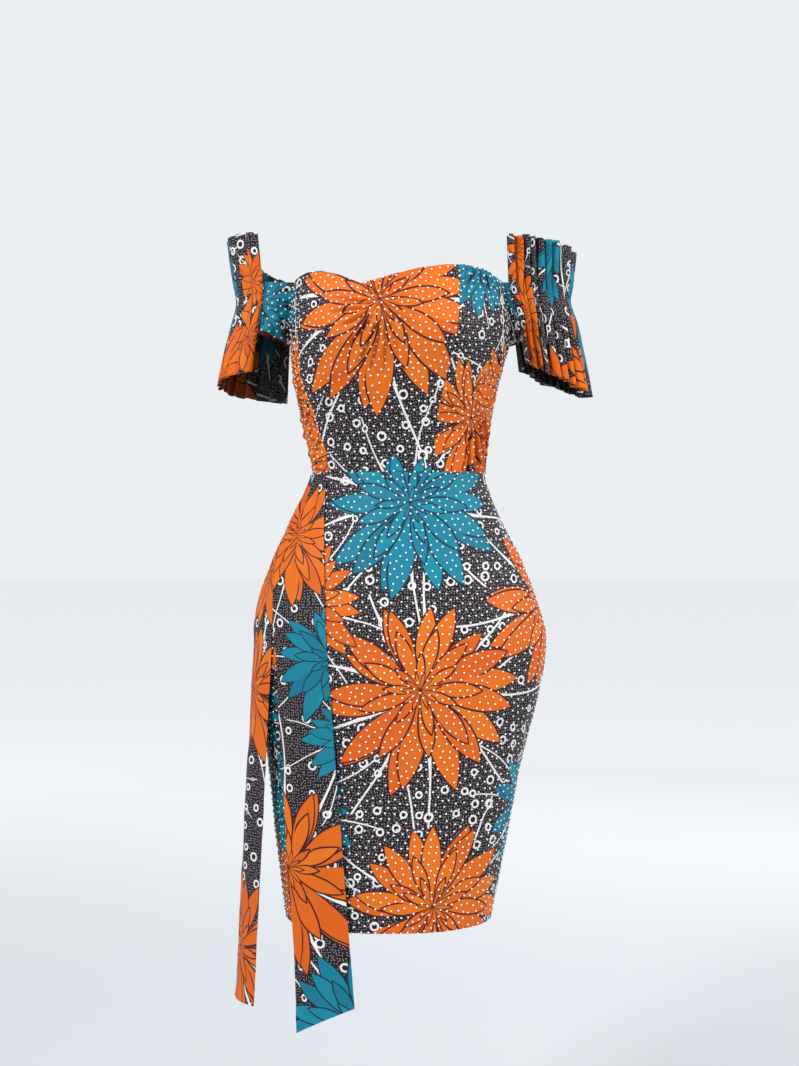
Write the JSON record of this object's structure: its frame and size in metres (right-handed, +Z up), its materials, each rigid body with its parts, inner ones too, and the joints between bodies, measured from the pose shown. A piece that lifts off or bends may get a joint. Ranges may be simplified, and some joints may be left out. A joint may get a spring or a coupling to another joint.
{
  "type": "off-shoulder fitted wax print dress",
  "caption": "Worn-form off-shoulder knee-length dress in wax print cotton, with a princess bodice, pencil skirt, hanging sash tails and pleated upper-arm sleeves.",
  "frame": {"origin": "centre of the waist seam, where the wearer's waist holds the dress up", "axes": "+Z up along the body, -Y out of the front, +X towards the wearer's left (the viewer's right)"},
  "size_m": [0.4674, 0.2518, 0.956],
  "materials": {
    "print_bodice": "matte printed cotton with white beads",
    "print_skirt": "matte printed cotton with white beads",
    "print_sash": "matte printed cotton",
    "print_sleeve": "matte printed cotton with white beads",
    "print_pleats": "matte printed cotton, knife pleated"
  },
  "bodies": {
    "root": {"bodice_front_centre": "print_bodice", "bodice_side_front_left": "print_bodice", "bodice_side_front_right": "print_bodice", "bodice_back_left": "print_bodice", "bodice_back_right": "print_bodice", "skirt_front": "print_skirt", "skirt_back_left": "print_skirt", "skirt_back_right": "print_skirt", "sash_tail_front": "print_sash", "sash_tail_side": "print_sash", "sleeve_band_left": "print_sleeve", "sleeve_band_right": "print_sleeve", "sleeve_pleats_left": "print_pleats", "sleeve_pleats_right": "print_pleats"}
  },
  "joints": []
}
